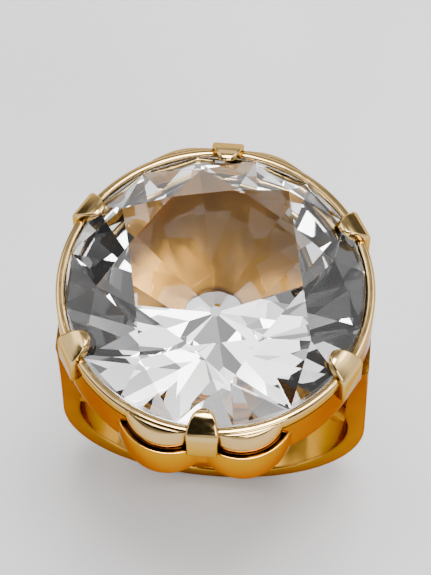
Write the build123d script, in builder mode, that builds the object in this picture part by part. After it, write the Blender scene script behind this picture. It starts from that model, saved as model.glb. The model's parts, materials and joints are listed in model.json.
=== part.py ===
"""Cocktail ring: a large round brilliant held by six claws in a collet, on a tapering shank.

The real ring is soldered together from separate pieces, and each is made here as a part of its own.
Sizes are in millimetres. The origin is the centre of the finger hole, +Y runs along the finger and
+Z points from the finger to the stone. The front is the side at -Y.
"""

from build123d import *

import os
from math import atan, cos, degrees, radians, sin, sqrt, tan

# ---- driving dimensions ---------------------------------------------------------------------------

# shank, shoulders and bridge
finger_radius = 8.9
shank_thickness = 1.2
shank_width = 3.2  # at the bottom of the hoop
shoulder_width = 6.2  # where the shoulders meet the collet
shoulder_thickness = 1.45  # at the same place
shank_wrap = 20.0  # degrees: the round part reaches this far above the finger's centre
bridge_thickness = 0.8
bridge_width = 5.6  # at its ends
bridge_end = 26.0  # degrees above the finger's centre
bridge_plate_radius = 7.4  # its middle is a round plate, seen from above
bridge_plate_fillet = 1.0
bridge_window_radius = 1.25

# stone: a round brilliant with eight main facets
stone_radius = 9.25
girdle_thickness = 0.5
table_radius = 5.5
crown_angle = 38.0
pavilion_depth = 6.9
culet_radius = 0.35
star_length = 0.48  # of the way from the table to the girdle
lower_half_length = 0.72  # of the way from the girdle to the culet
facet_count = 8
facet_turn = 34.0  # degrees: how the stone happens to be turned in its setting
culet_clearance = 0.4  # from the culet to the finger

# collet
stone_clearance = 0.05
seat_clearance = 0.02
wall_thickness = 0.55
wall_drop = 4.2  # from the middle of the girdle down to the wall's lower edge
rail_height = 1.1
rail_rise = 0.3  # from the middle of the girdle up to the rail's top
rail_round = 0.2
seat_width = 0.7
seat_height = 1.0
base_rail_width = 0.75
base_rail_height = 0.8

# lobes: two in front and two behind, one on each side of a claw
lobe_start = 1.5  # degrees from the claw's middle to the lobe's near end
lobe_half_angle = 15.5
lobe_bulge = 0.95
lobe_lip = 0.2  # the lobe's rim, which stands up in front of the petal
lobe_lip_height = 0.3
lobe_dip = 0.6
petal_height = 2.3
petal_gap = 0.15  # the groove between the lobe's rim and the petal
petal_dome = 1.6  # the height over which a petal rounds over to the rail
petal_corner = 1.2

# claws
claw_count = 6
claw_width = 2.0
claw_tip_width = 1.3
claw_thickness = 0.75
claw_inset = 0.35  # how deep a claw is let into the wall
claw_reach = 1.15  # how far its tip lies over the stone
claw_slope = 46.0  # degrees: the slope of its bent tip
claw_clearance = 0.04
claw_foot_gap = 2.0  # from the wall's lower edge up to the claw's foot

# ---- levels, radii and directions worked out from them ----------------------------------------------

girdle_z = finger_radius + culet_clearance + pavilion_depth + girdle_thickness / 2
girdle_top = girdle_z + girdle_thickness / 2
girdle_bottom = girdle_z - girdle_thickness / 2
table_z = girdle_top + (stone_radius - table_radius) * tan(radians(crown_angle))
culet_z = girdle_bottom - pavilion_depth

wall_inner = stone_radius + stone_clearance
wall_outer = wall_inner + wall_thickness
wall_bottom = girdle_z - wall_drop
rail_top = girdle_z + rail_rise
rail_bottom = rail_top - rail_height

claw_inner = wall_outer - claw_inset
claw_outer = claw_inner + claw_thickness
claw_foot = wall_bottom + claw_foot_gap

hoop_outer = finger_radius + shank_thickness
seam_x = finger_radius * cos(radians(shank_wrap))
seam_z = finger_radius * sin(radians(shank_wrap))
shoulder_inner = wall_outer - shoulder_thickness

front = -90.0
back = 90.0
through = 2 * (hoop_outer + table_z)  # longer than the whole ring


def polar(radius, azimuth, height=0.0):
    """The point at a radius, an azimuth in degrees and a height."""
    return Vector(radius * cos(radians(azimuth)), radius * sin(radians(azimuth)), height)


def ring_section(inner, outer, bottom, top, rounding=0.0):
    """The section of a ring about Z, with its top corners rounded if asked."""
    with BuildSketch(Plane.XZ) as section:
        with Locations(((inner + outer) / 2, bottom)):
            Rectangle(outer - inner, top - bottom, align=(Align.CENTER, Align.MIN))
        if rounding:
            fillet(section.vertices().group_by(Axis.Y)[-1], rounding)
    return section.sketch


def write(part, name):
    """Labels a finished piece and writes it to its own file."""
    part.label = name
    export_step(part, f"parts/{name}.step")


os.makedirs("parts", exist_ok=True)

# ---- stone ------------------------------------------------------------------------------------------

# Star, main and girdle facets meet at the star tips, half-way round between two main facets.
facet_step = 360 / facet_count
half_step = facet_step / 2
crown_rise = tan(radians(crown_angle))
star_radius = table_radius + star_length * (stone_radius - table_radius)
star_z = girdle_top + (stone_radius - star_radius * cos(radians(half_step))) * crown_rise
pavilion_fall = pavilion_depth / (stone_radius - culet_radius)
lower_radius = stone_radius - lower_half_length * (stone_radius - culet_radius)
lower_z = girdle_bottom - (stone_radius - lower_radius * cos(radians(half_step))) * pavilion_fall


def facet(a, b, c):
    """The plane of the facet through three points, facing out of the stone."""
    normal = (b - a).cross(c - a).normalized()
    outwards = normal if normal.dot(a - Vector(0, 0, girdle_z)) > 0 else -normal
    return Plane(origin=a, z_dir=outwards)


facets = []
for step in range(facet_count):
    main = facet_turn + step * facet_step
    between = main + half_step
    table_corner = polar(table_radius, main, table_z)
    star_tip = polar(star_radius, between, star_z)
    last_star_tip = polar(star_radius, main - half_step, star_z)
    lower_tip = polar(lower_radius, between, lower_z)
    last_lower_tip = polar(lower_radius, main - half_step, lower_z)
    facets.append(facet(table_corner, star_tip, last_star_tip))
    facets.append(facet(table_corner, star_tip, polar(table_radius, main + facet_step, table_z)))
    facets.append(facet(polar(culet_radius, main, culet_z), lower_tip, last_lower_tip))
    for side in (main, main + facet_step):
        edge = (polar(stone_radius, side, girdle_top), polar(stone_radius, between, girdle_top))
        facets.append(facet(star_tip, *edge))
        edge = (polar(stone_radius, side, girdle_bottom), polar(stone_radius, between, girdle_bottom))
        facets.append(facet(lower_tip, *edge))

with BuildPart() as stone:
    with BuildSketch(Plane.XY.offset(culet_z)):
        Circle(stone_radius)
    extrude(amount=table_z - culet_z)
    for plane in facets:
        split(bisect_by=plane, keep=Keep.BOTTOM)
write(stone.part, "stone")

# ---- claws ------------------------------------------------------------------------------------------

claw_rise = tan(radians(claw_slope))
tip_radius = stone_radius - claw_reach
tip_half = claw_tip_width / 2
thick_x = claw_thickness * sin(radians(claw_slope))
thick_z = claw_thickness * cos(radians(claw_slope))


def over_crown(radius):
    """The height of the bent tip's inner face, a clearance above the edge of the crown."""
    return girdle_top + claw_clearance / cos(radians(claw_slope)) + (stone_radius - radius) * claw_rise


with BuildPart() as claw:
    with BuildSketch(Plane.XZ):
        with BuildLine():
            Polyline(
                (claw_inner, claw_foot),
                (claw_outer, claw_foot),
                (claw_outer, over_crown(claw_outer) + claw_thickness / cos(radians(claw_slope))),
                (tip_radius + thick_x, over_crown(tip_radius) + thick_z),
                (tip_radius, over_crown(tip_radius)),
                (claw_inner, over_crown(claw_inner)),
                close=True,
            )
        profile = make_face()
        fillet(profile.vertices().group_by(Axis.X)[-1].sort_by(Axis.Z)[-1], claw_thickness)
    extrude(amount=claw_width / 2, both=True)
    with BuildSketch(Plane.XY.offset(claw_foot)):
        with BuildLine():
            tip = ThreePointArc(
                (tip_radius + tip_half, -tip_half), (tip_radius, 0), (tip_radius + tip_half, tip_half)
            )
            Polyline(
                tip @ 1,
                (claw_inner, claw_width / 2),
                (claw_outer, claw_width / 2),
                (claw_outer, -claw_width / 2),
                (claw_inner, -claw_width / 2),
                tip @ 0,
            )
        make_face()
    extrude(amount=through, mode=Mode.INTERSECT)

claw_names = (
    "front_claw",
    "front_right_claw",
    "back_right_claw",
    "back_claw",
    "back_left_claw",
    "front_left_claw",
)
claw_azimuths = [front + step * 360 / claw_count for step in range(claw_count)]
for name, azimuth in zip(claw_names, claw_azimuths):
    with BuildPart() as placed_claw:
        add(claw.part, rotation=(0, 0, azimuth))
    write(placed_claw.part, name)


def let_in_claws():
    """Cuts the slots for the claws into the part that is being built."""
    for azimuth in claw_azimuths:
        add(claw.part, rotation=(0, 0, azimuth), mode=Mode.SUBTRACT)


# ---- collet -----------------------------------------------------------------------------------------

with BuildPart() as girdle_rail:
    revolve(ring_section(wall_inner, wall_outer, rail_bottom, rail_top, rail_round), axis=Axis.Z)
    let_in_claws()
write(girdle_rail.part, "girdle_rail")

# The stone's lower facets come down on the seat's inner top edge.
seat_inner = wall_inner - seat_width
lower_fall = (girdle_bottom - lower_z) / (stone_radius - lower_radius)
seat_top = girdle_bottom - (stone_radius - seat_inner) * lower_fall - seat_clearance
with BuildPart() as stone_seat:
    revolve(ring_section(seat_inner, wall_inner, seat_top - seat_height, seat_top), axis=Axis.Z)
write(stone_seat.part, "stone_seat")

base_rail_inner = wall_inner - base_rail_width
with BuildPart() as base_rail:
    revolve(
        ring_section(base_rail_inner, wall_inner, wall_bottom, wall_bottom + base_rail_height),
        axis=Axis.Z,
    )
write(base_rail.part, "base_rail")

# Seen from above a lobe is an arc of its own, which leaves the round wall and comes back to it.
lobe_turn = lobe_start + lobe_half_angle
chord_half = wall_outer * sin(radians(lobe_half_angle))
chord_distance = wall_outer * cos(radians(lobe_half_angle))
lobe_depth = wall_outer + lobe_bulge - chord_distance
lobe_radius = (chord_half**2 + lobe_depth**2) / (2 * lobe_depth)
lobe_centre = wall_outer + lobe_bulge - lobe_radius
petal_bottom = rail_top - petal_height
lobes = {
    "front_left": front - lobe_turn,
    "front_right": front + lobe_turn,
    "back_right": back - lobe_turn,
    "back_left": back + lobe_turn,
}

# Seen from the front, the wall's lower edge dips below each lobe and rises again at the claw.
dip_middle = wall_outer * sin(radians(lobe_turn))
dip_half = dip_middle - claw_width / 4
with BuildPart() as gallery_wall:
    with BuildSketch(Plane.XY.offset(wall_bottom - lobe_dip)):
        Circle(wall_outer)
        for azimuth in lobes.values():
            with Locations(polar(lobe_centre, azimuth)):
                Circle(lobe_radius)
        Circle(wall_inner, mode=Mode.SUBTRACT)
    extrude(amount=petal_bottom - wall_bottom + lobe_dip)
    for azimuth in lobes.values():
        with BuildSketch(Plane.XY.offset(petal_bottom)):
            with Locations(polar(lobe_centre, azimuth)):
                Circle(lobe_radius)
                Circle(lobe_radius - lobe_lip, mode=Mode.SUBTRACT)
            Circle(wall_outer, mode=Mode.SUBTRACT)
        extrude(amount=lobe_lip_height)
    with BuildSketch(Plane.XY.offset(petal_bottom)):
        Circle(wall_outer)
        Circle(wall_inner, mode=Mode.SUBTRACT)
    extrude(amount=rail_bottom - petal_bottom)
    with BuildSketch(Plane.XZ):
        with BuildLine():
            left = ThreePointArc(
                (-dip_middle - dip_half, wall_bottom),
                (-dip_middle, wall_bottom - lobe_dip),
                (-dip_middle + dip_half, wall_bottom),
            )
            right = ThreePointArc(
                (dip_middle - dip_half, wall_bottom),
                (dip_middle, wall_bottom - lobe_dip),
                (dip_middle + dip_half, wall_bottom),
            )
            Line(left @ 1, right @ 0)
            Polyline(
                right @ 1,
                (through, wall_bottom),
                (through, rail_top),
                (-through, rail_top),
                (-through, wall_bottom),
                left @ 0,
            )
        make_face()
    extrude(amount=through, both=True, mode=Mode.INTERSECT)
    let_in_claws()
write(gallery_wall.part, "gallery_wall")

# A petal is a domed shell in front of each lobe, from the rail down, with a rounded lower edge.
petal_inset = lobe_lip + petal_gap
petal_outer = wall_outer + lobe_bulge - petal_inset
dome_z = rail_top - petal_dome
for name, azimuth in lobes.items():
    with BuildPart() as petal:
        with BuildSketch(Plane.XY.offset(petal_bottom)):
            with Locations(polar(lobe_centre, azimuth)):
                Circle(lobe_radius - petal_inset)
            Circle(wall_outer, mode=Mode.SUBTRACT)
        extrude(amount=petal_height)
        with BuildSketch(Plane.XZ):
            with BuildLine():
                dome = EllipticalCenterArc(
                    (wall_inner, dome_z), petal_outer - wall_inner, petal_dome, arc_size=90
                )
                Polyline(dome @ 1, (0, rail_top), (0, petal_bottom), (petal_outer, petal_bottom), dome @ 0)
            make_face()
        revolve(axis=Axis.Z, mode=Mode.INTERSECT)
        outwards = polar(1, azimuth)
        with BuildSketch(Plane((0, 0, petal_bottom), x_dir=outwards.rotate(Axis.Z, 90), z_dir=outwards)):
            outline = Rectangle(2 * chord_half, 2 * petal_height, align=(Align.CENTER, Align.MIN))
            fillet(outline.vertices().group_by(Axis.Z)[0], petal_corner)
        extrude(amount=through, mode=Mode.INTERSECT)
        let_in_claws()
    write(petal.part, f"{name}_petal")

# ---- shank, shoulders and bridge ----------------------------------------------------------------------

# Seen from the front the strap is round under the finger, and goes straight up to the collet.
corner_distance = sqrt(wall_outer**2 + wall_bottom**2)
leave_angle = degrees(
    atan(wall_bottom / wall_outer) - atan(sqrt(corner_distance**2 - hoop_outer**2) / hoop_outer)
)
with BuildPart() as strap:
    with BuildSketch(Plane.XZ):
        with BuildLine():
            outer = CenterArc((0, 0), hoop_outer, 180 - leave_angle, 180 + 2 * leave_angle)
            inner = CenterArc((0, 0), finger_radius, 180 - shank_wrap, 180 + 2 * shank_wrap)
            Polyline(outer @ 1, (wall_outer, wall_bottom), (shoulder_inner, wall_bottom), inner @ 1)
            Polyline(outer @ 0, (-wall_outer, wall_bottom), (-shoulder_inner, wall_bottom), inner @ 0)
        make_face()
    extrude(amount=shoulder_width / 2, both=True)
    with BuildSketch(Plane.YZ):
        with BuildLine():
            flare = Spline(
                (shank_width / 2, -hoop_outer),
                (shoulder_width / 2, wall_bottom),
                tangents=((0, 1), (shoulder_width - shank_width, wall_bottom)),
            )
            Line((-shank_width / 2, -hoop_outer), (shank_width / 2, -hoop_outer))
            Line((-shoulder_width / 2, wall_bottom), (shoulder_width / 2, wall_bottom))
            mirror(flare, about=Plane.YZ)
        make_face()
    extrude(amount=through, both=True, mode=Mode.INTERSECT)

with BuildPart() as shank:
    add(strap.part)
    split(bisect_by=Plane.XY.offset(seam_z), keep=Keep.BOTTOM)
write(shank.part, "shank")

for name, side in (("left_shoulder", -1), ("right_shoulder", 1)):
    with BuildPart() as shoulder:
        add(strap.part)
        split(bisect_by=Plane.XY.offset(seam_z), keep=Keep.TOP)
        split(bisect_by=Plane(origin=(0, 0, 0), z_dir=(side, 0, 0)), keep=Keep.TOP)
    write(shoulder.part, name)

# The bridge closes the finger hole under the stone, and ends on the shoulders' inner faces.
bridge_end_z = finger_radius * sin(radians(bridge_end))
bridge_end_x = seam_x + (shoulder_inner - seam_x) * (bridge_end_z - seam_z) / (wall_bottom - seam_z)
with BuildPart() as bridge:
    with BuildSketch(Plane.XZ):
        Circle(finger_radius + bridge_thickness)
        Circle(finger_radius, mode=Mode.SUBTRACT)
        with BuildLine():
            Polyline(
                (-bridge_end_x, bridge_end_z),
                (bridge_end_x, bridge_end_z),
                (shoulder_inner, wall_bottom),
                (-shoulder_inner, wall_bottom),
                close=True,
            )
        make_face(mode=Mode.INTERSECT)
    extrude(amount=bridge_plate_radius, both=True)
    with BuildSketch(Plane.XY):
        Circle(bridge_plate_radius)
        Rectangle(2 * wall_outer, bridge_width)
        fillet([v for v in vertices() if abs(v.X) < bridge_plate_radius], radius=bridge_plate_fillet)
        Circle(bridge_window_radius, mode=Mode.SUBTRACT)
    extrude(amount=through, mode=Mode.INTERSECT)
write(bridge.part, "bridge")
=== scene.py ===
"""Cocktail ring: a large round brilliant of rock crystal in a gold claw collet on a tapering shank.

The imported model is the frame. The stone keeps its cut facets and gets its crystal here. The metal pieces
are modelled again where the frame has them, with the soft edges and full curves of polished goldwork.
Lengths are in metres, and MM turns a size in millimetres into metres.
"""

import json
import logging
import math
from dataclasses import dataclass
from enum import Enum
from typing import Iterable, Sequence

import bmesh
import bpy
from mathutils import Matrix, Vector


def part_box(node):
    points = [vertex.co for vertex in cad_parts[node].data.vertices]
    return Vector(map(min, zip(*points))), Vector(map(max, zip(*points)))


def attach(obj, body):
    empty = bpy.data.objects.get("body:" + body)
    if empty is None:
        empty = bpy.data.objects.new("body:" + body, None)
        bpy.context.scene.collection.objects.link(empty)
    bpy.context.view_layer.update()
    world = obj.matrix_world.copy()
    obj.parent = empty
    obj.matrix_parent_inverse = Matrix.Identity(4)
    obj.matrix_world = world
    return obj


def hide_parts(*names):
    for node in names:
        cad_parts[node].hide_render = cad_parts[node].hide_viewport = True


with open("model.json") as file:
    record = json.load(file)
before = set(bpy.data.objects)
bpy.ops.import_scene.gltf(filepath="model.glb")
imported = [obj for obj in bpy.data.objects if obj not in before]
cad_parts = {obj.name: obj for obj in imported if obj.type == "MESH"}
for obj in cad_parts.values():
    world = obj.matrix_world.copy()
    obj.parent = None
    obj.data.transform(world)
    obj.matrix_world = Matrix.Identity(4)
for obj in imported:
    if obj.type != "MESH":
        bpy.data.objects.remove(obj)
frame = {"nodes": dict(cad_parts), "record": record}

MM = 0.001
FULL_TURN = 2 * math.pi
MERGE_DISTANCE = 0.00002 * MM

# Sizes of the design by which the pieces fit together.
PAVILION_DEPTH = 6.9 * MM
GIRDLE_THICKNESS = 0.5 * MM
PETAL_HEIGHT = 2.3 * MM
LIP_WIDTH = 0.2 * MM
PETAL_GAP = 0.15 * MM

log = logging.getLogger("cocktail_ring")


class Slot(Enum):
    """The record's material slots."""

    CRYSTAL = "crystal"
    PALE_GOLD = "pale_gold"
    YELLOW_GOLD = "yellow_gold"


# ---- mesh helpers -----------------------------------------------------------------------------------


def polar(radius: float, azimuth: float, height: float = 0.0) -> Vector:
    """A point from its radius and azimuth about Z, in radians, and its height."""
    return Vector((radius * math.cos(azimuth), radius * math.sin(azimuth), height))


def blend(start: float, end: float, share: float) -> float:
    """The value that lies a share of the way from start to end."""
    return start + (end - start) * share


def rounded_face(bm: bmesh.types.BMesh, width: float, depth: float, rounding: float) -> bmesh.types.BMFace:
    """Makes a rectangle with rounded corners in the XY plane, about the origin.

    Args:
        bm: The mesh that gets the face.
        width: Its length along X.
        depth: Its length along Y.
        rounding: The radius of its corners.

    Returns:
        The one face.
    """
    corners = bmesh.ops.create_grid(bm, x_segments=1, y_segments=1, size=0.5)["verts"]
    bmesh.ops.scale(bm, vec=(width, depth, 1), verts=corners)
    bmesh.ops.bevel(
        bm,
        geom=corners,
        offset=rounding,
        offset_type="OFFSET",
        segments=4,
        profile=0.5,
        affect="VERTICES",
        material=-1,
    )
    bm.faces.ensure_lookup_table()
    return bm.faces[-1]


def sweep(bm: bmesh.types.BMesh, face: bmesh.types.BMFace, places: Sequence[Matrix]) -> None:
    """Extrudes a face from place to place, so that it leaves a closed bar with only its two end faces.

    Args:
        bm: The mesh that holds the face.
        face: The section, in the XY plane.
        places: Where the section stands in turn, and how it is scaled there.
    """
    bmesh.ops.transform(bm, matrix=places[0], verts=face.verts)
    start = face
    for last, here in zip(places, places[1:]):
        made = bmesh.ops.extrude_face_region(bm, geom=[face])["geom"]
        if face is not start:
            bmesh.ops.delete(bm, geom=[face], context="FACES_ONLY")
        face = next(item for item in made if isinstance(item, bmesh.types.BMFace))
        bmesh.ops.transform(bm, matrix=here @ last.inverted(), verts=face.verts)


def turned_ring(
    bm: bmesh.types.BMesh,
    radii: tuple[float, float],
    levels: tuple[float, float],
    rounding: float,
    steps: int = 240,
) -> None:
    """Turns a rounded rectangular section about Z into a ring.

    Args:
        bm: The mesh that gets the ring.
        radii: Its inner and outer radius.
        levels: The heights of its lower and upper side.
        rounding: The radius of its edges.
        steps: How many flats make the round.
    """
    face = rounded_face(bm, radii[1] - radii[0], levels[1] - levels[0], rounding)
    stand = Matrix.Translation((sum(radii) / 2, 0, sum(levels) / 2)) @ Matrix.Rotation(math.pi / 2, 4, "X")
    bmesh.ops.transform(bm, matrix=stand, verts=face.verts)
    edges = list(face.edges)
    bmesh.ops.delete(bm, geom=[face], context="FACES_ONLY")
    bmesh.ops.spin(
        bm,
        geom=edges + list({vert for edge in edges for vert in edge.verts}),
        cent=(0, 0, 0),
        axis=(0, 0, 1),
        dvec=(0, 0, 0),
        angle=FULL_TURN,
        steps=steps,
        use_merge=True,
        use_duplicate=False,
    )


def soften(bm: bmesh.types.BMesh, width: float, angle: float) -> None:
    """Bevels every edge that turns by more than an angle, in radians."""
    sharp = [edge for edge in bm.edges if edge.is_manifold and edge.calc_face_angle() > angle]
    bmesh.ops.bevel(
        bm,
        geom=sharp,
        offset=width,
        offset_type="OFFSET",
        segments=3,
        profile=0.5,
        affect="EDGES",
        clamp_overlap=True,
        material=-1,
    )


def finish_piece(
    bm: bmesh.types.BMesh,
    name: str,
    slot: Slot,
    material: bpy.types.Material,
    smooth_below: float = math.radians(40),
) -> bpy.types.Object:
    """Makes the object of a finished mesh, in place of the CAD node of the same name.

    Args:
        bm: The mesh, which is freed.
        name: The CAD node that the piece stands for.
        slot: The record's slot for its finish. Not used.
        material: Its finish.
        smooth_below: Edges that turn by less than this angle are shaded smooth.

    Returns:
        The object, which rides on the ring's one body.
    """
    bmesh.ops.remove_doubles(bm, verts=bm.verts, dist=MERGE_DISTANCE)
    bmesh.ops.recalc_face_normals(bm, faces=bm.faces)
    for edge in bm.edges:
        edge.smooth = not edge.is_manifold or edge.calc_face_angle() < smooth_below
    for face in bm.faces:
        face.smooth = True
    mesh = bpy.data.meshes.new(f"{name}_piece")
    bm.to_mesh(mesh)
    bm.free()
    mesh.materials.append(material)
    piece = bpy.data.objects.new(f"{name}_piece", mesh)
    bpy.context.scene.collection.objects.link(piece)
    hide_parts(name)
    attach(piece, "root")
    log.info("%s: %d faces, %s", piece.name, len(mesh.polygons), material.name)
    return piece


# ---- finishes ---------------------------------------------------------------------------------------


class Nodes:
    """A material's node tree, with short ways to add a node and to join two."""

    def __init__(self, name: str) -> None:
        """Starts a material with an empty tree."""
        self.material = bpy.data.materials.new(name)
        self.material.use_nodes = True
        self.tree = self.material.node_tree
        self.tree.nodes.clear()

    def add(self, kind: str, settings: dict | None = None, **inputs: object) -> bpy.types.Node:
        """Adds a node.

        Args:
            kind: Its type, without the leading ShaderNode.
            settings: Properties of the node.
            inputs: Values or sockets for its inputs, by name with _ for a space.

        Returns:
            The node.
        """
        node = self.tree.nodes.new(f"ShaderNode{kind}")
        for key, value in (settings or {}).items():
            setattr(node, key, value)
        for key, value in inputs.items():
            self.join(value, node.inputs[key.replace("_", " ")])
        return node

    def join(self, value: object, socket: bpy.types.NodeSocket) -> None:
        """Links a socket to an input, or sets the input's own value."""
        if isinstance(value, bpy.types.NodeSocket):
            self.tree.links.new(value, socket)
        else:
            socket.default_value = value

    def object_place(self, scale: tuple[float, float, float]) -> bpy.types.NodeSocket:
        """Object coordinates, scaled along each axis."""
        place = self.add("TexCoord").outputs["Object"]
        return self.add("Mapping", Vector=place, Scale=scale).outputs["Vector"]

    def noise(self, scale: tuple[float, float, float], detail: float = 3.0) -> bpy.types.NodeSocket:
        """Noise over the object, with the number of bumps to a metre along each axis."""
        return self.add(
            "TexNoise", {"noise_dimensions": "3D"}, Vector=self.object_place(scale), Scale=1.0, Detail=detail
        ).outputs["Fac"]

    def ramp(
        self, value: bpy.types.NodeSocket, stops: Iterable[tuple[float, tuple[float, ...]]]
    ) -> bpy.types.NodeSocket:
        """A colour ramp over a value, from its stops' places and colours."""
        node = self.add("ValToRGB", Fac=value)
        elements = node.color_ramp.elements
        for index, (place, colour) in enumerate(stops):
            element = elements[index] if index < len(elements) else elements.new(place)
            element.position = place
            element.color = (*colour[:3], 1)
        return node.outputs["Color"]

    def mix(self, share: bpy.types.NodeSocket, first: object, second: object) -> bpy.types.NodeSocket:
        """The colour that lies a share of the way from the first to the second."""
        node = self.add("Mix", {"data_type": "RGBA"})
        self.join(share, node.inputs[0])
        self.join(first, node.inputs[6])
        self.join(second, node.inputs[7])
        return node.outputs[2]

    def range(self, value: bpy.types.NodeSocket, low: float, high: float) -> bpy.types.NodeSocket:
        """The middle half of a noise value, spread from low to high."""
        spread = {"From_Min": 0.3, "From_Max": 0.7, "To_Min": low, "To_Max": high}
        return self.add("MapRange", Value=value, **spread).outputs["Result"]

    def close(self, shader: bpy.types.Node) -> bpy.types.Material:
        """Joins the shader to the output and gives the material."""
        self.add("OutputMaterial", Surface=shader.outputs[0])
        return self.material


@dataclass(frozen=True)
class Gold:
    """Polished gold alloy: fine wheel marks, a hand-polished swell, and corners darkened partly by tarnish
    and partly by painted shade.
    """

    name: str
    colour: tuple[float, float, float]
    edge_tint: tuple[float, float, float]
    tarnish_and_shade: tuple[float, float, float]
    roughness: tuple[float, float] = (0.07, 0.16)
    tarnish_and_shade_reach: float = 0.5 * MM
    swell: float = 0.25
    marks: float = 0.06
    upward_shade: tuple[float, float, float] | None = None

    def material(self) -> bpy.types.Material:
        """Builds the node material. Where an upward shade colour is given, faces that look up are painted
        with it as painted shade.
        """
        nodes = Nodes(self.name)
        cloud = nodes.noise((450, 450, 450))
        paler = tuple(min(1.0, part * 1.05) for part in self.colour)
        deeper = tuple(part * 0.93 for part in self.colour)
        alloy = nodes.ramp(cloud, ((0.3, deeper), (0.7, paler)))
        # Tarnish and painted shade: the colour darkens to near black where other metal is near, in corners
        # and under the petals.
        open_sky = nodes.add("AmbientOcclusion", {"samples": 6}, Distance=self.tarnish_and_shade_reach)
        tarnish_and_shade_mask = nodes.add("MapRange", Value=open_sky.outputs["AO"], From_Min=0.25, From_Max=0.75)
        # Painted shade: faces that look up take a darker brown, so the gold under the stone reads as shaded.
        if self.upward_shade:
            facing = nodes.add("SeparateXYZ", Vector=nodes.add("NewGeometry").outputs["Normal"])
            upward = nodes.add("MapRange", Value=facing.outputs["Z"], From_Min=0.15, From_Max=0.45)
            deeper_upward_shade = tuple(part * 0.86 for part in self.upward_shade)
            upward_shade_colour = nodes.ramp(nodes.noise((350, 350, 350), 2), ((0.3, deeper_upward_shade), (0.7, self.upward_shade)))
            alloy = nodes.mix(upward.outputs["Result"], alloy, upward_shade_colour)
        colour = nodes.mix(tarnish_and_shade_mask.outputs["Result"], (*self.tarnish_and_shade, 1), alloy)
        marks = nodes.noise((2500, 2500, 26000), 4)
        swell = nodes.noise((700, 700, 700), 1)
        bump = nodes.add("Bump", Strength=self.marks, Distance=0.01 * MM, Height=marks)
        bump = nodes.add(
            "Bump", Strength=self.swell, Distance=0.05 * MM, Height=swell, Normal=bump.outputs["Normal"]
        )
        shader = nodes.add(
            "BsdfPrincipled",
            Base_Color=colour,
            Specular_Tint=(*self.edge_tint, 1),
            Metallic=1.0,
            Roughness=nodes.range(nodes.noise((1800, 1800, 6000), 4), *self.roughness),
            Normal=bump.outputs["Normal"],
        )
        return nodes.close(shader)


@dataclass(frozen=True)
class Crystal:
    """Clear rock crystal: polished facets with faint wear, and a matt girdle."""

    name: str
    colour: tuple[float, float, float]
    girdle_levels: tuple[float, float]
    refraction: float = 1.55
    girdle_roughness: float = 0.25
    wear: float = 0.012

    def material(self) -> bpy.types.Material:
        """Builds the node material."""
        nodes = Nodes(self.name)
        height = nodes.add("SeparateXYZ", Vector=nodes.object_place((1, 1, 1))).outputs["Z"]
        above = nodes.add("Math", {"operation": "GREATER_THAN"})
        nodes.join(height, above.inputs[0])
        nodes.join(self.girdle_levels[0], above.inputs[1])
        below = nodes.add("Math", {"operation": "LESS_THAN"})
        nodes.join(height, below.inputs[0])
        nodes.join(self.girdle_levels[1], below.inputs[1])
        girdle = nodes.add("Math", {"operation": "MULTIPLY"})
        nodes.join(above.outputs[0], girdle.inputs[0])
        nodes.join(below.outputs[0], girdle.inputs[1])
        wear = nodes.range(nodes.noise((900, 900, 900), 5), 0.0, self.wear)
        roughness = nodes.add("Math", {"operation": "MULTIPLY_ADD"})
        nodes.join(girdle.outputs[0], roughness.inputs[0])
        nodes.join(self.girdle_roughness, roughness.inputs[1])
        nodes.join(wear, roughness.inputs[2])
        cloudy = tuple(part * 0.985 for part in self.colour)
        tint = nodes.ramp(nodes.noise((160, 160, 160)), ((0.3, cloudy), (0.7, self.colour)))
        shader = nodes.add(
            "BsdfPrincipled",
            Base_Color=tint,
            Metallic=0.0,
            Roughness=roughness.outputs[0],
            IOR=self.refraction,
            Transmission_Weight=1.0,
        )
        return nodes.close(shader)


@dataclass(frozen=True)
class Paper:
    """The plain pale sheet that the ring stands on."""

    name: str
    colour: tuple[float, float, float]

    def material(self) -> bpy.types.Material:
        """Builds the node material."""
        nodes = Nodes(self.name)
        shade = nodes.noise((90, 90, 90), 2)
        darker = tuple(part * 0.97 for part in self.colour)
        grain = nodes.noise((6000, 6000, 6000), 2)
        bump = nodes.add("Bump", Strength=0.15, Distance=0.02 * MM, Height=grain)
        shader = nodes.add(
            "BsdfPrincipled",
            Base_Color=nodes.ramp(shade, ((0.35, darker), (0.65, self.colour))),
            Roughness=0.8,
            Normal=bump.outputs["Normal"],
        )
        return nodes.close(shader)


# ---- the ring ---------------------------------------------------------------------------------------


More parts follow.
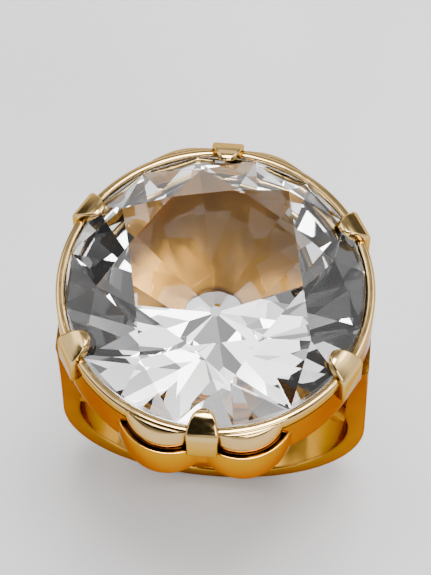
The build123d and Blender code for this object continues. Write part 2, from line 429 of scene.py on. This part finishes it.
@dataclass(frozen=True)
class Measures:
    """The ring's levels and radii, read from the frame."""

    finger_radius: float
    hoop_outer: float
    seam_z: float
    seam_width: float
    shoulder_width: float
    shoulder_inner: float
    bridge_outer: float
    plate_radius: float
    wall_inner: float
    wall_outer: float
    wall_bottom: float
    rail_levels: tuple[float, float]
    seat_levels: tuple[float, float]
    base_rail_top: float
    lobe_dip: float
    claw_outer: float
    claw_foot: float
    claw_width: float
    tip_radius: float
    stone_radius: float
    stone_levels: tuple[float, float]

    @classmethod
    def from_frame(cls) -> "Measures":
        """Reads the boxes of the CAD nodes and the finger hole's mount."""
        mounts = {mount["name"]: mount for mount in frame["record"]["mounts"]}
        shank_low, shank_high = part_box("shank")
        shoulder_low, shoulder_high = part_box("right_shoulder")
        bridge_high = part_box("bridge")[1]
        rail_low, rail_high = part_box("girdle_rail")
        seat_low, seat_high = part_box("stone_seat")
        base_low, base_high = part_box("base_rail")
        claw_low, claw_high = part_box("front_claw")
        stone_low, stone_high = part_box("stone")
        return cls(
            finger_radius=mounts["finger_bore"]["dims"]["r_mm"] * MM,
            hoop_outer=-shank_low.z,
            seam_z=shank_high.z,
            seam_width=shank_high.y - shank_low.y,
            shoulder_width=shoulder_high.y - shoulder_low.y,
            shoulder_inner=shoulder_low.x,
            bridge_outer=bridge_high.z,
            plate_radius=bridge_high.y,
            wall_inner=base_high.x,
            wall_outer=rail_high.x,
            wall_bottom=base_low.z,
            rail_levels=(rail_low.z, rail_high.z),
            seat_levels=(seat_low.z, seat_high.z),
            base_rail_top=base_high.z,
            lobe_dip=base_low.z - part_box("gallery_wall")[0].z,
            claw_outer=-claw_low.y,
            claw_foot=claw_low.z,
            claw_width=claw_high.x - claw_low.x,
            tip_radius=-claw_high.y,
            stone_radius=stone_high.x,
            stone_levels=(stone_low.z, stone_high.z),
        )


@dataclass
class Stone:
    """The faceted stone, which is the CAD node with its crystal."""

    sizes: Measures

    def build(self) -> None:
        """Gives the stone its crystal."""
        low = self.sizes.stone_levels[0] + PAVILION_DEPTH
        crystal = Crystal("rock_crystal", (0.985, 0.99, 1.0), (low, low + GIRDLE_THICKNESS))
        node = frame["nodes"]["stone"]
        node.data.materials.clear()
        node.data.materials.append(crystal.material())
        log.info("stone: %d faces, %s", len(node.data.polygons), crystal.name)


@dataclass
class Lobes:
    """The four lobes of the collet, two in front and two behind."""

    sizes: Measures
    turn: float = math.radians(17)
    half_angle: float = math.radians(15.5)
    bulge: float = 0.95 * MM

    def __post_init__(self) -> None:
        """Works out the circle that a lobe follows, seen from above."""
        outer = self.sizes.wall_outer
        half_chord = outer * math.sin(self.half_angle)
        depth = outer + self.bulge - outer * math.cos(self.half_angle)
        self.radius = (half_chord**2 + depth**2) / (2 * depth)
        self.centre = outer + self.bulge - self.radius
        quarter = math.pi / 2
        self.azimuths = {
            "front_left": -quarter - self.turn,
            "front_right": -quarter + self.turn,
            "back_right": quarter - self.turn,
            "back_left": quarter + self.turn,
        }

    def reach(self, offset: float, inset: float = 0.0) -> float:
        """How far a lobe reaches from the ring's axis.

        Args:
            offset: The angle from the lobe's middle.
            inset: How far inside the lobe's outline to measure.

        Returns:
            The distance from the axis, which is never inside the round wall.
        """
        if abs(offset) >= self.half_angle:
            return self.sizes.wall_outer
        rest = (self.radius - inset) ** 2 - (self.centre * math.sin(offset)) ** 2
        return max(self.sizes.wall_outer, self.centre * math.cos(offset) + math.sqrt(max(rest, 0.0)))

    def spread(self, inset: float) -> float:
        """The angle from a lobe's middle at which its outline, set inwards, meets the round wall."""
        outer = self.sizes.wall_outer
        cosine = (outer**2 + self.centre**2 - (self.radius - inset) ** 2) / (2 * outer * self.centre)
        return math.acos(cosine)

    def wall_reach(self, azimuth: float) -> float:
        """How far the wall reaches from the axis at an azimuth, lobes included."""
        offsets = (math.remainder(azimuth - middle, FULL_TURN) for middle in self.azimuths.values())
        return max(self.reach(offset) for offset in offsets)


@dataclass
class Collet:
    """The round setting: girdle rail, stone seat, gallery wall and base rail."""

    sizes: Measures
    lobes: Lobes
    pale: bpy.types.Material
    yellow: bpy.types.Material
    inside: bpy.types.Material
    edge: float = 0.1 * MM
    rail_round: float = 0.2 * MM
    seat_width: float = 0.7 * MM
    base_width: float = 0.75 * MM
    lip_height: float = 0.3 * MM
    lip_round: float = 0.06 * MM
    dip_margin: float = 0.5 * MM
    wall_steps: int = 540

    def __post_init__(self) -> None:
        """Sets how near a point must lie to a station's height to belong to it."""
        self.near = self.lip_round / 8

    def build(self) -> None:
        """Builds the collet's four pieces."""
        size = self.sizes
        bm = bmesh.new()
        turned_ring(bm, (size.wall_inner, size.wall_outer), size.rail_levels, self.rail_round)
        finish_piece(bm, "girdle_rail", Slot.PALE_GOLD, self.pale)
        bm = bmesh.new()
        turned_ring(bm, (size.wall_inner - self.seat_width, size.wall_inner), size.seat_levels, self.edge)
        finish_piece(bm, "stone_seat", Slot.YELLOW_GOLD, self.inside)
        bm = bmesh.new()
        levels = (size.wall_bottom, size.base_rail_top)
        turned_ring(bm, (size.wall_inner - self.base_width, size.wall_inner), levels, self.edge)
        finish_piece(bm, "base_rail", Slot.YELLOW_GOLD, self.inside)
        self.build_wall()

    def build_wall(self) -> None:
        """Turns the plain wall, then pushes the lobes out of it, lips and all, and their lower edges down."""
        size = self.sizes
        ledge = size.rail_levels[1] - PETAL_HEIGHT
        bm = bmesh.new()
        levels = (size.wall_bottom, size.rail_levels[0])
        turned_ring(bm, (size.wall_inner, size.wall_outer), levels, self.edge, self.wall_steps)
        low = size.wall_bottom + size.lobe_dip
        stations = self.lip_stations(ledge)
        for level in (low, *(station[0] for station in stations)):
            bmesh.ops.bisect_plane(
                bm,
                geom=bm.verts[:] + bm.edges[:] + bm.faces[:],
                plane_co=(0, 0, level),
                plane_no=(0, 0, 1),
            )
        middle = (size.wall_inner + size.wall_outer) / 2
        for vert in bm.verts:
            radius = vert.co.xy.length
            level = vert.co.z
            if radius > middle:
                push = self.lobes.wall_reach(math.atan2(vert.co.y, vert.co.x)) - size.wall_outer
                if level < stations[0][0] - self.near:
                    vert.co.xy *= (radius + push) / radius
                else:
                    out, height = self.lip_place(push, level, stations)
                    vert.co.xy *= out / radius
                    vert.co.z = height
            if level < low - size.lobe_dip / 2:
                vert.co.z -= self.dip(abs(vert.co.x))
        finish_piece(bm, "gallery_wall", Slot.YELLOW_GOLD, self.yellow)

    def lip_stations(self, ledge: float) -> list[tuple[float, float, float]]:
        """The line over a lobe's lip and down into the groove behind it.

        Args:
            ledge: The height of the groove's floor.

        Returns:
            For each station its height on the plain wall, how far it lies inside the lobe's outline and
            its height on the lobe. The last one lies on the round wall.
        """
        top = ledge + self.lip_height
        soft = self.lip_round
        line = (
            (0.0, top - soft),
            (0.3 * soft, top - 0.3 * soft),
            (soft, top),
            (LIP_WIDTH - soft, top),
            (LIP_WIDTH - 0.3 * soft, top - 0.3 * soft),
            (LIP_WIDTH, top - soft),
            (LIP_WIDTH, ledge),
            (math.inf, ledge),
        )
        return [(ledge + index * soft, *place) for index, place in enumerate(line)]

    def lip_place(
        self, push: float, level: float, stations: Sequence[tuple[float, float, float]]
    ) -> tuple[float, float]:
        """Where a point of the plain wall's outer face goes at a lobe.

        Args:
            push: How far the lobe stands out of the wall there.
            level: The point's height on the plain wall.
            stations: The line over the lip.

        Returns:
            The point's distance from the axis and its height.
        """
        outer = self.sizes.wall_outer
        plain, inset, height = min(stations, key=lambda station: abs(station[0] - level))
        if abs(plain - level) > self.near:
            return outer, level
        share = min(1.0, push / LIP_WIDTH)
        return outer + max(0.0, push - inset), blend(level, height, share)

    def dip(self, across: float) -> float:
        """How far the lower edge dips below a lobe, at a distance from the ring's middle plane."""
        middle = self.sizes.wall_outer * math.sin(self.lobes.turn)
        half = middle - self.dip_margin
        share = min(1.0, abs(across - middle) / half)
        return self.sizes.lobe_dip * (1 - share**2)


@dataclass
class Petals:
    """Four domed shells that stand on the lobes, behind their lips."""

    sizes: Measures
    lobes: Lobes
    pale: bpy.types.Material
    dome: float = 1.6 * MM
    inset: float = LIP_WIDTH + PETAL_GAP
    thickness: float = 0.3 * MM
    roll: float = 0.1 * MM
    edge: float = 0.07 * MM
    straight_share: float = 0.4
    foot_share: float = 0.55
    columns: int = 28
    rows: int = 20

    def build(self) -> None:
        """Builds a petal on each lobe."""
        for name, azimuth in self.lobes.azimuths.items():
            bm = bmesh.new()
            bmesh.ops.create_grid(bm, x_segments=self.columns, y_segments=self.rows, size=0.5)
            for vert in bm.verts:
                vert.co = self.surface(azimuth, 2 * vert.co.x, vert.co.y + 0.5)
            bm.normal_update()
            bmesh.ops.solidify(bm, geom=bm.faces[:], thickness=self.thickness)
            bmesh.ops.recalc_face_normals(bm, faces=bm.faces)
            soften(bm, self.edge, math.radians(50))
            finish_piece(bm, f"{name}_petal", Slot.PALE_GOLD, self.pale, math.radians(55))

    def surface(self, azimuth: float, across: float, up: float) -> Vector:
        """A point of the petal's outer face.

        Args:
            azimuth: The azimuth of the petal's middle.
            across: From -1 at one side to 1 at the other.
            up: From 0 at the lower edge to 1 at the rail.

        Returns:
            The point.
        """
        straight = min(1.0, up / self.straight_share)
        width = blend(self.foot_share, 1.0, math.sqrt(max(0.0, 1 - (1 - straight) ** 2)))
        offset = self.lobes.spread(self.inset) * across * width
        top = self.sizes.rail_levels[1]
        dome_z = top - self.dome
        stand = self.lobes.reach(offset, self.inset) - self.sizes.wall_outer
        if up < self.straight_share:
            height = blend(top - PETAL_HEIGHT, dome_z, straight)
            tuck = self.roll * (1 - straight) ** 3
            return polar(self.sizes.wall_outer + stand - tuck, azimuth + offset, height)
        rise = (up - self.straight_share) / (1 - self.straight_share) * math.pi / 2
        height = dome_z + (self.dome - self.roll) * math.sin(rise)
        return polar(self.sizes.wall_outer + stand * math.cos(rise), azimuth + offset, height)


@dataclass
class Claws:
    """Six claws, let into the wall and bent over the stone's edge."""

    sizes: Measures
    pale: bpy.types.Material
    thickness: float = 0.75 * MM
    slope: float = math.radians(46)
    clearance: float = 0.04 * MM
    tip_width: float = 1.3 * MM
    tip_thickness: float = 0.5 * MM
    rounding: float = 0.16 * MM
    bend_radius: float = 0.55 * MM
    bend_steps: int = 8
    tip_steps: int = 10
    foot_shares: tuple[float, float] = (0.94, 0.9)
    end_share: float = 0.3

    names = (
        "front_claw",
        "front_right_claw",
        "back_right_claw",
        "back_claw",
        "back_left_claw",
        "front_left_claw",
    )

    def build(self) -> None:
        """Builds a claw at each sixth of the round, from the front."""
        for step, name in enumerate(self.names):
            bm = bmesh.new()
            face = rounded_face(bm, self.sizes.claw_width, self.thickness, self.rounding)
            sweep(bm, face, list(self.places()))
            turn = Matrix.Rotation(-math.pi / 2 + step * FULL_TURN / len(self.names), 4, "Z")
            bmesh.ops.transform(bm, matrix=turn, verts=bm.verts)
            finish_piece(bm, name, Slot.PALE_GOLD, self.pale)

    def crown_line(self, radius: float) -> float:
        """The height of the bent tip's inner face at a radius."""
        girdle_top = self.sizes.stone_levels[0] + PAVILION_DEPTH + GIRDLE_THICKNESS
        rise = (self.sizes.stone_radius - radius) * math.tan(self.slope)
        return girdle_top + self.clearance / math.cos(self.slope) + rise

    def place(self, point: Vector, lean: float, width: float, thickness: float) -> Matrix:
        """A station of the claw's section, on the claw at azimuth 0.

        Args:
            point: The section's middle.
            lean: How far the claw has bent over there, in radians.
            width: The section's width there.
            thickness: Its thickness there.

        Returns:
            The matrix that takes the section there.
        """
        along = Vector((-math.sin(lean), 0, math.cos(lean)))
        outward = Vector((math.cos(lean), 0, math.sin(lean))) * (thickness / self.thickness)
        sideways = Vector((0, -1, 0)) * (width / self.sizes.claw_width)
        matrix = Matrix((sideways, outward, along)).transposed().to_4x4()
        matrix.translation = point
        return matrix

    def places(self) -> Iterable[Matrix]:
        """The stations of a claw at azimuth 0: up the leg, round the bend and along the tip."""
        size = self.sizes
        lean = math.pi / 2 - self.slope
        leg = size.claw_outer - self.thickness / 2
        bend_z = self.crown_line(leg) + self.thickness / 2 / math.cos(self.slope)
        tangent = self.bend_radius * math.tan(lean / 2)
        foot_width = size.claw_width * self.foot_shares[0]
        foot_thickness = self.thickness * self.foot_shares[1]
        yield self.place(Vector((leg, 0, size.claw_foot)), 0, foot_width, foot_thickness)
        foot = Vector((leg, 0, size.claw_foot + self.rounding))
        yield self.place(foot, 0, size.claw_width, self.thickness)
        for step in range(self.bend_steps + 1):
            turned = lean * step / self.bend_steps
            point = Vector(
                (
                    leg - self.bend_radius * (1 - math.cos(turned)),
                    0,
                    bend_z - tangent + self.bend_radius * math.sin(turned),
                )
            )
            yield self.place(point, turned, size.claw_width, self.thickness)
        start = leg - self.bend_radius * (1 - math.cos(lean))
        for step in range(1, self.tip_steps + 1):
            share = step / self.tip_steps
            taper = math.sqrt(1 - share**4) if step < self.tip_steps else self.end_share
            width = blend(size.claw_width, self.tip_width, share) * blend(1, taper, share)
            thickness = blend(self.thickness, self.tip_thickness, share) * blend(1, taper, share)
            inner = blend(start, size.tip_radius + self.thickness / 2, share)
            foot_radius = inner - self.thickness / 2 * math.sin(self.slope) * (1 - share)
            point = Vector((foot_radius, 0, self.crown_line(foot_radius)))
            out = Vector((math.sin(self.slope), 0, math.cos(self.slope))) * thickness / 2
            yield self.place(point + out, lean, width, thickness)


@dataclass
class Band:
    """The shank, its two shoulders and the bridge that closes the finger hole."""

    sizes: Measures
    yellow: bpy.types.Material
    inside: bpy.types.Material
    bottom_width: float = 3.2 * MM
    rounding: float = 0.2 * MM
    edge: float = 0.08 * MM
    bridge_end: float = math.radians(26)
    bridge_width: float = 5.6 * MM
    window_radius: float = 1.25 * MM
    hoop_steps: int = 132
    shoulder_steps: int = 24
    plate_segments: int = 144
    plate_rings: int = 28
    nearly_zero: float = 1e-6

    def __post_init__(self) -> None:
        """Works out the strap's outline from the frame."""
        size = self.sizes
        self.thickness = size.hoop_outer - size.finger_radius
        self.wrap = math.asin(size.seam_z / size.finger_radius)
        self.height = size.wall_bottom + size.hoop_outer
        self.leave = math.atan2(size.wall_bottom, size.wall_outer) - math.acos(
            size.hoop_outer / math.hypot(size.wall_outer, size.wall_bottom)
        )
        seam_share = (size.seam_z + size.hoop_outer) / self.height
        gain = (size.seam_width - self.bottom_width) / (size.shoulder_width - self.bottom_width)
        self.flare = math.log(gain) / math.log(seam_share)

    def width(self, z: float) -> float:
        """The strap's width at a height."""
        share = (z + self.sizes.hoop_outer) / self.height
        return blend(self.bottom_width, self.sizes.shoulder_width, max(0.0, share) ** self.flare)

    def outer_line(self, z: float) -> Vector:
        """The right side's straight outer face at a height, from the hoop up to the collet."""
        size = self.sizes
        start = Vector((size.hoop_outer * math.cos(self.leave), 0, size.hoop_outer * math.sin(self.leave)))
        end = Vector((size.wall_outer, 0, size.wall_bottom))
        return start.lerp(end, (z - start.z) / (end.z - start.z))

    def place(self, inner: Vector, outer: Vector) -> Matrix:
        """A station of the strap's section, from its inner to its outer face.

        Args:
            inner: The middle of the inner face.
            outer: The middle of the outer face.

        Returns:
            The matrix that takes the section there.
        """
        across = (outer - inner) / self.thickness
        sideways = Vector((0, self.width((inner.z + outer.z) / 2) / self.bottom_width, 0))
        along = sideways.cross(across).normalized()
        matrix = Matrix((sideways, across, along)).transposed().to_4x4()
        matrix.translation = (inner + outer) / 2
        return matrix

    def hoop_place(self, angle: float) -> Matrix:
        """The station at an angle round the hoop, from the right side's middle and up."""
        size = self.sizes
        above = angle if angle <= math.pi / 2 else math.pi - angle
        side = Vector((math.cos(angle), 0, math.sin(angle)))
        inner = side * size.finger_radius
        outer = side * size.hoop_outer
        if above > self.leave:
            start_z = size.hoop_outer * math.sin(self.leave)
            z = blend(start_z, size.seam_z, (above - self.leave) / (self.wrap - self.leave))
            outer = self.outer_line(z)
            outer.x = math.copysign(outer.x, side.x)
        return self.place(inner, outer)

    def section(self, bm: bmesh.types.BMesh) -> bmesh.types.BMFace:
        """The strap's section at the bottom of the hoop."""
        return rounded_face(bm, self.bottom_width, self.thickness, self.rounding)

    def build(self) -> None:
        """Builds the shank, the shoulders and the bridge."""
        size = self.sizes
        bm = bmesh.new()
        sweep_angle = math.pi + 2 * self.wrap
        angles = [self.wrap - sweep_angle * step / self.hoop_steps for step in range(self.hoop_steps + 1)]
        sweep(bm, self.section(bm), [self.hoop_place(self.wrapped(angle)) for angle in angles])
        finish_piece(bm, "shank", Slot.YELLOW_GOLD, self.yellow)
        seam_inner = Vector((size.finger_radius * math.cos(self.wrap), 0, size.seam_z))
        top_inner = Vector((size.shoulder_inner, 0, size.wall_bottom))
        for name, side in (("left_shoulder", -1), ("right_shoulder", 1)):
            places = []
            for step in range(self.shoulder_steps + 1):
                inner = seam_inner.lerp(top_inner, step / self.shoulder_steps)
                outer = self.outer_line(inner.z)
                inner.x *= side
                outer.x *= side
                places.append(self.place(inner, outer))
            bm = bmesh.new()
            sweep(bm, self.section(bm), places)
            finish_piece(bm, name, Slot.YELLOW_GOLD, self.yellow)
        self.build_bridge()

    @staticmethod
    def wrapped(angle: float) -> float:
        """The angle as one from -90 to 270 degrees."""
        return angle if angle >= -math.pi / 2 else angle + FULL_TURN

    def build_bridge(self) -> None:
        """Draws the plate round its window, bends it over the finger and gives it its thickness."""
        size = self.sizes
        half_length = size.finger_radius * math.cos(self.bridge_end)
        half_width = self.bridge_width / 2
        corner = math.atan2(half_width, half_length)
        bm = bmesh.new()
        loop = bmesh.ops.create_circle(bm, segments=self.plate_segments, radius=self.window_radius)["verts"]
        for vert in loop:
            angle = math.atan2(vert.co.y, vert.co.x)
            for sharp in (corner, -corner, math.pi - corner, corner - math.pi):
                if abs(math.remainder(angle - sharp, FULL_TURN)) < math.pi / self.plate_segments:
                    vert.co = polar(self.window_radius, sharp)
        edges = list({edge for vert in loop for edge in vert.link_edges})
        for ring in range(1, self.plate_rings + 1):
            made = bmesh.ops.extrude_edge_only(bm, edges=edges)["geom"]
            edges = [item for item in made if isinstance(item, bmesh.types.BMEdge)]
            share = ring / self.plate_rings
            for vert in {vert for edge in edges for vert in edge.verts}:
                angle = math.atan2(vert.co.y, vert.co.x)
                strap = min(
                    half_length / max(abs(math.cos(angle)), self.nearly_zero),
                    half_width / max(abs(math.sin(angle)), self.nearly_zero),
                )
                out = max(strap, size.plate_radius)
                vert.co = polar(blend(self.window_radius, out, share), angle)
        for vert in bm.verts:
            vert.co.z = math.sqrt(size.finger_radius**2 - vert.co.x**2)
        bm.normal_update()
        if bm.faces[:][0].normal.z > 0:
            bmesh.ops.reverse_faces(bm, faces=bm.faces)
        bm.normal_update()
        bmesh.ops.solidify(bm, geom=bm.faces[:], thickness=size.bridge_outer - size.finger_radius)
        bmesh.ops.recalc_face_normals(bm, faces=bm.faces)
        soften(bm, self.edge, math.radians(50))
        finish_piece(bm, "bridge", Slot.YELLOW_GOLD, self.inside)


# ---- the studio -------------------------------------------------------------------------------------


@dataclass(frozen=True)
class SoftBox:
    """A square studio light that faces the ring."""

    name: str
    azimuth: float
    elevation: float
    distance: float
    size: float
    watts: float
    colour: tuple[float, float, float] = (1.0, 1.0, 1.0)

    def build(self, target: Vector) -> None:
        """Hangs the light, turned towards a point."""
        lamp = bpy.data.lights.new(self.name, "AREA")
        lamp.shape = "SQUARE"
        lamp.size = self.size
        lamp.energy = self.watts
        lamp.color = self.colour
        azimuth = math.radians(self.azimuth)
        elevation = math.radians(self.elevation)
        back = polar(math.cos(elevation), azimuth, math.sin(elevation))
        holder = bpy.data.objects.new(self.name, lamp)
        holder.location = target + back * self.distance
        holder.rotation_euler = back.to_track_quat("Z", "Y").to_euler()
        bpy.context.scene.collection.objects.link(holder)


@dataclass(frozen=True)
class Card:
    """A round soft-edged card in the room, a light one for a glow or a dark one for shade."""

    name: str
    azimuth: float
    elevation: float
    reach: float
    core: float
    brightness: float

    def lay(
        self, tree: bpy.types.NodeTree, way: bpy.types.NodeSocket, behind: bpy.types.NodeSocket
    ) -> bpy.types.NodeSocket:
        """Lays the card over what is behind it.

        Args:
            tree: The room's node tree.
            way: The direction of sight.
            behind: The colour behind the card.

        Returns:
            The colour with the card in front.
        """
        elevation = math.radians(self.elevation)
        towards = polar(math.cos(elevation), math.radians(self.azimuth), math.sin(elevation))
        dot = tree.nodes.new("ShaderNodeVectorMath")
        dot.operation = "DOT_PRODUCT"
        tree.links.new(way, dot.inputs[0])
        dot.inputs[1].default_value = towards
        edge = tree.nodes.new("ShaderNodeMapRange")
        edge.interpolation_type = "SMOOTHSTEP"
        tree.links.new(dot.outputs["Value"], edge.inputs["Value"])
        edge.inputs["From Min"].default_value = math.cos(math.radians(self.reach))
        edge.inputs["From Max"].default_value = math.cos(math.radians(self.core))
        mix = tree.nodes.new("ShaderNodeMix")
        mix.data_type = "RGBA"
        mix.label = self.name
        tree.links.new(edge.outputs["Result"], mix.inputs[0])
        tree.links.new(behind, mix.inputs[6])
        mix.inputs[7].default_value = (self.brightness, self.brightness, self.brightness, 1)
        return mix.outputs[2]


@dataclass
class Studio:
    """The pale sheet, the soft light and the camera. Cards stand at an azimuth from +X, in degrees."""

    sizes: Measures
    azimuth: float = math.radians(4.7)
    elevation: float = math.radians(63.7)
    distance: float = 162 * MM
    lens: float = 165.0
    sheet_radius: float = 1.2
    sky: tuple[tuple[float, float], ...] = ((0.0, 0.8), (0.25, 0.5), (0.6, 0.38), (1.0, 0.42))
    cards: tuple[Card, ...] = (
        Card("shade", -88, 58, 50, 28, 0.03),
        Card("right_glow", 20, 46, 32, 14, 3.4),
        Card("left_glow", 168, 50, 32, 14, 3.4),
        Card("back_glow", 95, 30, 24, 10, 1.6),
        Card("high_glow", 120, 79, 18, 9, 0.9),
        Card("right_spark", 15, 50, 13, 5, 9.0),
        Card("left_shade", -156, 42, 19, 12, 0.05),
        Card("front_left_flag", -134, 2, 18, 9, 0.12),
        Card("front_right_flag", -42, 8, 20, 8, 0.15),
        Card("left_window", 180, 14, 20, 12, 1.5),
        Card("right_window", 0, 14, 20, 12, 1.5),
        Card("back_left_flag", 140, 5, 18, 8, 0.12),
        Card("back_right_flag", 52, 6, 18, 8, 0.15),
        Card("front_window", -84, 12, 16, 9, 1.0),
    )

    def build(self) -> None:
        """Builds the studio round the ring."""
        self.build_floor()
        self.build_world()
        target = Vector((0, 0, self.sizes.wall_bottom))
        for box in (
            SoftBox("top_softbox", 60, 84, 0.6, 0.25, 5.0),
            SoftBox("front_softbox", -60, 35, 0.6, 0.25, 2.0),
        ):
            box.build(target)
        self.build_camera()

    def build_floor(self) -> None:
        """Lays the sheet under the hoop."""
        bm = bmesh.new()
        bmesh.ops.create_circle(bm, cap_ends=True, segments=96, radius=self.sheet_radius)
        bmesh.ops.translate(bm, vec=(0, 0, -self.sizes.hoop_outer), verts=bm.verts)
        mesh = bpy.data.meshes.new("sheet")
        bm.to_mesh(mesh)
        bm.free()
        mesh.materials.append(Paper("pale_paper", (0.66, 0.655, 0.66)).material())
        sheet = bpy.data.objects.new("sheet", mesh)
        bpy.context.scene.collection.objects.link(sheet)

    def build_world(self) -> None:
        """Surrounds the ring with the room's soft light."""
        world = bpy.data.worlds.new("room")
        bpy.context.scene.world = world
        world.use_nodes = True
        tree = world.node_tree
        tree.nodes.clear()
        way = tree.nodes.new("ShaderNodeTexCoord").outputs["Generated"]
        split = tree.nodes.new("ShaderNodeSeparateXYZ")
        tree.links.new(way, split.inputs[0])
        ramp = tree.nodes.new("ShaderNodeValToRGB")
        tree.links.new(split.outputs["Z"], ramp.inputs["Fac"])
        elements = ramp.color_ramp.elements
        for index, (height, grey) in enumerate(self.sky):
            element = elements[index] if index < len(elements) else elements.new(height)
            element.position = height
            element.color = (grey, grey, grey, 1)
        colour = ramp.outputs["Color"]
        for card in self.cards:
            colour = card.lay(tree, way, colour)
        light = tree.nodes.new("ShaderNodeBackground")
        tree.links.new(colour, light.inputs["Color"])
        out = tree.nodes.new("ShaderNodeOutputWorld")
        tree.links.new(light.outputs[0], out.inputs[0])

    def build_camera(self) -> None:
        """Sets the camera above and in front of the ring, a little to the right."""
        size = self.sizes
        camera = bpy.data.objects.new("camera", bpy.data.cameras.new("camera"))
        flat = math.cos(self.elevation)
        back = Vector(
            (math.sin(self.azimuth) * flat, -math.cos(self.azimuth) * flat, math.sin(self.elevation))
        )
        girdle = Vector((0, 0, size.rail_levels[1]))
        camera.location = girdle + back * self.distance
        camera.rotation_euler = back.to_track_quat("Z", "Y").to_euler()
        camera.data.lens = self.lens
        camera.data.clip_start = 5 * MM
        camera.data.clip_end = 10.0
        bpy.context.scene.collection.objects.link(camera)
        bpy.context.scene.camera = camera


def main() -> None:
    """Builds the ring and the studio."""
    logging.basicConfig(level=logging.INFO, format="%(name)s %(message)s")
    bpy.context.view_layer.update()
    sizes = Measures.from_frame()
    # The pale gold's cream base is partly the alloy's colour and partly a painted reflection of bright
    # overhead light on the parts that face up.
    pale = Gold(
        "pale_gold",
        colour=(0.62, 0.42, 0.17),
        edge_tint=(0.68, 0.47, 0.20),
        tarnish_and_shade=(0.06, 0.03, 0.01),
    ).material()
    # The yellow gold's base is darker and more orange than the alloy's own: partly the alloy's colour and
    # partly a painted reflection of warm orange surroundings.
    yellow = Gold(
        "yellow_gold",
        colour=(0.50, 0.25, 0.03),
        edge_tint=(0.50, 0.26, 0.035),
        tarnish_and_shade=(0.06, 0.024, 0.005),
    ).material()
    # Its base has the yellow gold's painted reflection, and its colour for faces that look up is painted
    # shade.
    inside = Gold(
        "yellow_gold_inside",
        colour=(0.50, 0.25, 0.03),
        edge_tint=(0.45, 0.24, 0.05),
        tarnish_and_shade=(0.07, 0.03, 0.01),
        roughness=(0.28, 0.36),
        swell=0.08,
        marks=0.02,
        upward_shade=(0.43, 0.21, 0.035),
    ).material()
    lobes = Lobes(sizes)
    Stone(sizes).build()
    Collet(sizes, lobes, pale, yellow, inside).build()
    Petals(sizes, lobes, pale).build()
    Claws(sizes, pale).build()
    Band(sizes, yellow, inside).build()
    Studio(sizes).build()
    log.info("size written")


if __name__ == "__main__":
    main()
